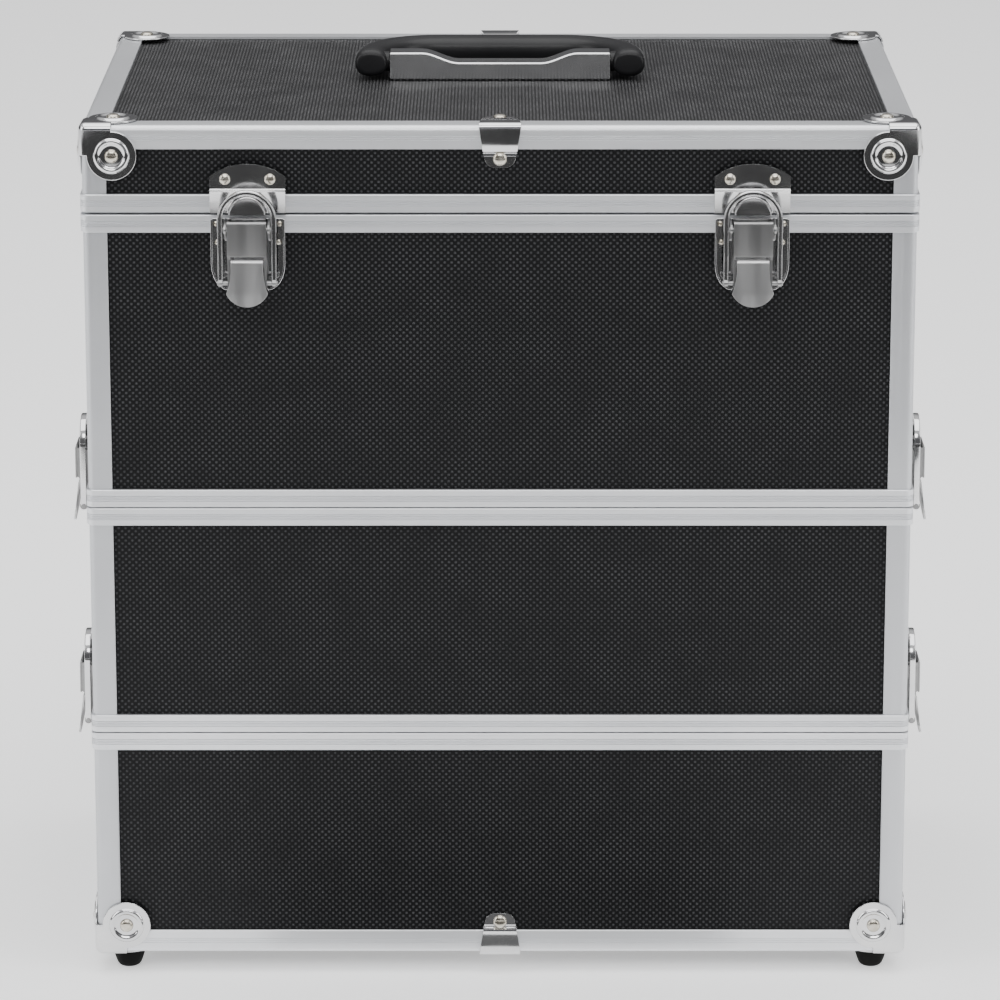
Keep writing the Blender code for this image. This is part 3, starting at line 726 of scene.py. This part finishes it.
def latch_base(bm):
    """The plate below the seam: a turned-up edge all round, ears for the lever and rivets beside it."""
    top, waist = -1.8 * MM, -22 * MM
    right = [(BASE_HALF, top), (BASE_HALF, waist)]
    for i in range(1, 7):
        a = math.radians(15 * i)
        right.append((9 * MM + 7.4 * MM * math.cos(a), waist - 11.5 * MM * math.sin(a)))
    outline = right[::-1] + [(-x, z) for x, z in right]
    prism(bm, outline, "Y", -1.3 * MM, -FIT)
    lip = mm((-0.45, 0.6), (0.45, 0.6), (0.45, 3.1), (-0.45, 3.1))
    for sign in (-1, 1):
        path = [(sign * (x - 0.45 * MM), z) for x, z in right]
        bar(bm, path, lip)
    out, up = LEVER_PIVOT
    ear = mm((-1, -1.8), (-1, -12), (-9, -9.4)) + arc((-out, up), 2.3 * MM, 270, 90, 10)
    for sign in (-1, 1):
        prism(bm, ear, "X", sign * 9.0 * MM, sign * 10.2 * MM, index=2)
        for x, z in mm((14.1, -4.2), (13.6, -12.5)):
            dome(bm, sign * x, z, 1.2 * MM, radius=1.25 * MM, height=1.1 * MM, index=1, count=16)


def latch_lever(bm):
    """A channel with a softly rounded face, and a curved tab below a dark slot."""
    face = mm((13.3, -1.1), (13.85, -1.35), (14.05, -1.9), (14.07, -2.3), (14.1, -15.6), (14.05, -16.4))
    strap(bm, [(LEVER_HALF, out, up) for out, up in face], 0.9 * MM)
    cheek = mm((-8.6, -1.6), (-13.6, -1.9), (-13.6, -15.8), (-11.6, -18), (-11.8, -31), (-9.4, -31.6))
    cheek += mm((-8.6, -30))
    for sign in (-1, 1):
        prism(bm, cheek, "X", sign * 7.5 * MM, sign * LEVER_HALF)
    tab = mm((7.1, 12.1, -18.6), (7.1, 12.75, -18.75), (7.1, 13.0, -19.2), (7.1, 13.08, -20.0))
    tab += mm((7.15, 13.5, -24), (7.4, 13.8, -26.5), (7.9, 14.13, -29.3), (8.7, 14.4, -31.6))
    tab += mm((9.2, 14.6, -33))
    half, out, shoulder = tab[-1]
    for width, _, up in crown(half, shoulder, -38.7 * MM, 0, 9):
        tab.append((width, out + (shoulder - up) * 0.2, up))
    strap(bm, tab, 1 * MM, index=1)
    for (out, up), reach in ((LEVER_PIVOT, 10.6 * MM), (BAIL_PIVOT, 13.3 * MM)):
        rod(bm, out, up, -reach, reach, PIN_RADIUS)


def latch_bail(bm):
    """A pressed loop with a channel along its face, and an eye round the pin at each end."""
    width, middle = (BAIL_OUTER - BAIL_INNER) / 2, (BAIL_OUTER + BAIL_INNER) / 2
    out, low = BAIL_PIVOT
    ridge, valley = 1.35 * MM, 0.7 * MM
    # half the channel: share of the half width, and height
    half = [(0.46, valley), (0.6, ridge - 0.12 * MM), (0.72, ridge), (0.88, ridge - 0.1 * MM), (1, 0.8 * MM)]
    section = [(-width, -1.3 * MM), (width, -1.3 * MM)]
    section += [(width * a, b) for a, b in reversed(half)] + [(-width * a, b) for a, b in half]
    path = [(middle, low)] + arc((0, BAIL_CROWN), middle, 0, 180, 28) + [(-middle, low)]
    bar(bm, path, [(a, out + b) for a, b in section])
    for sign in (-1, 1):
        start, end = BAIL_INNER + 0.3 * MM, BAIL_OUTER - 0.3 * MM
        rod(bm, out, low, sign * start, sign * end, radius=1.8 * MM, index=1)


def make_latches():
    owner = {
        "front": ("lid", "upper_case"),
        "upper": ("upper_case", "middle_case"),
        "lower": ("middle_case", "bottom_case"),
    }
    for row, (above, below) in owner.items():
        for side in ("left", "right"):
            name = f"{row}_{side}"
            low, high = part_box(f"latch_{name}_strike")
            seam = low.z - STRIKE_LOW
            if row == "front":
                spot, turn = Vector(((low.x + high.x) / 2, FRONT_Y, seam)), 0
            else:
                sign = -1 if side == "left" else 1
                spot, turn = Vector((sign * HALF_X, CASE_Y, seam)), sign * math.pi / 2
            place = Matrix.Translation(spot) @ Matrix.Rotation(turn, 4, "Z")
            parts = (
                ("strike", latch_strike, above, [CHROME, RIVET], 0.22 * MM),
                ("base", latch_base, below, [CHROME, RIVET, NICKEL], 0.25 * MM),
                ("lever", latch_lever, f"{name}_lever", [NICKEL, TAB_PAINTED_LIGHT_NICKEL], 0.25 * MM),
                ("bail", latch_bail, f"{name}_bail", [CHROME, NICKEL], 0.12 * MM),
            )
            for part, shape, body, materials, bevel in parts:
                bm = bmesh.new()
                shape(bm)
                finished(
                    f"{name}_latch_{part}",
                    bm,
                    materials,
                    body,
                    place,
                    replaces=[f"latch_{name}_{part}"],
                    bevel=bevel,
                )


# Handle

WAIST_DROP = 4.6 * MM  # how much lower the bracket is in its middle
GRIP_BEND = 31 * MM
GRIP_WIDE, GRIP_TALL = 7.5 * MM, 6.6 * MM  # half the grip's width and height
GRIP_BOSS = 4.6 * MM


def make_handle():
    low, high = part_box("handle_bracket")
    half, near = (high.x - low.x) / 2, (high.y - low.y) / 2
    middle_y = (low.y + high.y) / 2
    right = [(half, low.z), (half, high.z)]
    for i in range(9):
        share = i / 8
        ease = share * share * (3 - 2 * share)
        right.append(((36 - 17 * share) * MM, high.z - WAIST_DROP * ease))
    outline = right + [(-x, z) for x, z in reversed(right)]
    bm = bmesh.new()
    prism(bm, outline, "Y", -near, near)
    place = Matrix.Translation((0, middle_y, 0))
    finished(
        "handle_bracket_pressing",
        bm,
        [CHROME],
        "lid",
        place,
        replaces=["handle_bracket"],
        bevel=0.9 * MM,
        segments=4,
    )
    pin_low, pin_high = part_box("handle_pin_left")
    make_grip(middle_y, (pin_low.z + pin_high.z) / 2)


def squared(value):
    """A sine or cosine, pushed outwards so that its circle is a little squarer."""
    return math.copysign(abs(value) ** 0.85, value)


def make_grip(pivot_y, pivot_z):
    """The moulded grip, lying back on the lid: round ends, arms that turn in, and a bar behind."""
    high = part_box("handle_grip")[1]
    arm_x, bar_y = high.x - GRIP_WIDE, high.y - GRIP_WIDE - pivot_y
    bend = arc((arm_x - GRIP_BEND, bar_y - GRIP_BEND), GRIP_BEND, 0, 90, 16)
    # how far behind the pivot each end section is, and its share of the full width and height
    ends = ((-6.8, 0.7, 0.55), (-6.7, 0.82, 0.66), (-6.3, 0.91, 0.77), (-5.6, 0.96, 0.88))
    ends += ((-4.4, 0.99, 0.97), (-2, 1, 1))
    path = [(arm_x, y * MM, a, b) for y, a, b in ends] + [(x, y, 1, 1) for x, y in bend]
    path += [(-x, y, a, b) for x, y, a, b in reversed(path)]
    rings = []
    for i, (x, y, width_share, height_share) in enumerate(path):
        before, after = Vector(path[max(i - 1, 0)][:2]), Vector(path[min(i + 1, len(path) - 1)][:2])
        along = (after - before).normalized()
        ring = []
        for a in range(24):
            turn = math.tau * a / 24
            aside = GRIP_WIDE * width_share * squared(math.cos(turn))
            rise = GRIP_TALL * height_share * squared(math.sin(turn))
            ring.append((x + along.y * aside, pivot_y + y - along.x * aside, pivot_z + rise))
        rings.append(ring)
    bm = bmesh.new()
    loft(bm, rings)
    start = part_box("handle_bracket")[1].x + 0.1 * MM
    boss = circle((pivot_y, pivot_z), GRIP_BOSS, 28)
    for sign in (-1, 1):
        prism(bm, boss, "X", sign * start, sign * (start + 4 * MM))
    finished(
        "handle_grip_moulding",
        bm,
        [GRIP_FINISH],
        "grip",
        replaces=["handle_grip"],
        sharp=60,
    )


# CAD nodes whose shape is right: they only get a finish


def dress_hardware():
    parts = ("case_leaf", "lid_leaf", "pin")
    names = [f"hinge_{side}_{part}" for side in ("left", "right") for part in parts]
    for name in names + ["handle_pin_left", "handle_pin_right"]:
        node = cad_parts[name]
        node.data.materials.clear()
        node.data.materials.append(CHROME)


# Room: a pale floor, soft lights, and the camera


FLOOR_REACH = 60
CARD_LIFT = 4 * MM
CARDS = {"far": (-7, -0.95, 3, 0.01), "near": (-0.28, -0.14, 0.11, 0.10)}  # start, end, half width, grey
CAMERA_DISTANCE = 2.2
CAMERA_HEIGHT = 0.797
CAMERA_TILT = 14.18  # degrees down from level
LENS = 173.8
LENS_SHIFT = -0.1


def softbox(name, place, aim, size, power, height=None):
    light = bpy.data.lights.new(name, "AREA")
    light.energy = power
    light.shape = "RECTANGLE"
    light.size = size
    light.size_y = height or size
    obj = bpy.data.objects.new(name, light)
    bpy.context.scene.collection.objects.link(obj)
    obj.location = place
    obj.rotation_euler = (Vector(aim) - Vector(place)).to_track_quat("-Z", "Y").to_euler()


def plane(name, low, high, z, color, roughness, glow=0):
    mesh = bpy.data.meshes.new(name)
    corners = ((low[0], low[1], z), (high[0], low[1], z), (high[0], high[1], z), (low[0], high[1], z))
    mesh.from_pydata(corners, [], [(0, 1, 2, 3)])
    material = bpy.data.materials.new(name)
    material.use_nodes = True
    shader = material.node_tree.nodes["Principled BSDF"]
    shader.inputs["Base Color"].default_value = (*color, 1)
    shader.inputs["Roughness"].default_value = roughness
    shader.inputs["Emission Color"].default_value = (*color, 1)
    shader.inputs["Emission Strength"].default_value = glow
    mesh.materials.append(material)
    obj = bpy.data.objects.new(name, mesh)
    bpy.context.scene.collection.objects.link(obj)
    return obj


def make_room():
    plane("floor", (-FLOOR_REACH,) * 2, (FLOOR_REACH,) * 2, 0, (0.9, 0.9, 0.9), 0.9, glow=0.6)
    # two cards that only show as dark reflections in the metal
    for name, (start, end, half_width, grey) in CARDS.items():
        card = plane(name + "_card", (-half_width, start), (half_width, end), CARD_LIFT, (grey,) * 3, 0.9)
        card.visible_camera = False
        card.visible_diffuse = False
        card.visible_shadow = False
    softbox("overhead", (0, -0.2, 2.6), (0, 0, 0.2), 2.6, 60)
    softbox("left", (-2.2, -1.2, 1.2), (0, 0, 0.25), 1.2, 22, 1.8)
    softbox("right", (2.2, -1.2, 1.2), (0, 0, 0.25), 1.2, 22, 1.8)
    softbox("front", (0, -3.2, 2.4), (0, 0, 0.2), 2.4, 40, 1.0)
    world = bpy.data.worlds.new("room")
    world.use_nodes = True
    tree = world.node_tree
    up = tree.nodes.new("ShaderNodeSeparateXYZ")
    tree.links.new(tree.nodes.new("ShaderNodeTexCoord").outputs["Generated"], up.inputs[0])
    ramp = tree.nodes.new("ShaderNodeValToRGB")
    tree.links.new(up.outputs["Z"], ramp.inputs[0])
    ramp.color_ramp.elements[0].position = 0.3
    ramp.color_ramp.elements[0].color = (0.14, 0.14, 0.145, 1)
    ramp.color_ramp.elements[1].position = 0.7
    ramp.color_ramp.elements[1].color = (0.8, 0.8, 0.81, 1)
    tree.links.new(ramp.outputs[0], tree.nodes["Background"].inputs["Color"])
    bpy.context.scene.world = world


def make_camera():
    """A camera square on to the front, a little above the lid."""
    camera = bpy.data.cameras.new("camera")
    camera.sensor_width = 36
    camera.lens = LENS
    camera.shift_y = LENS_SHIFT
    obj = bpy.data.objects.new("camera", camera)
    bpy.context.scene.collection.objects.link(obj)
    obj.location = (0, CASE_Y - CAMERA_DISTANCE, CAMERA_HEIGHT)
    obj.rotation_euler = (math.radians(90 - CAMERA_TILT), 0, 0)
    bpy.context.scene.camera = obj


dress_panels()
make_guards()
make_clips()
make_feet()
make_latches()
make_handle()
dress_hardware()
make_room()
make_camera()
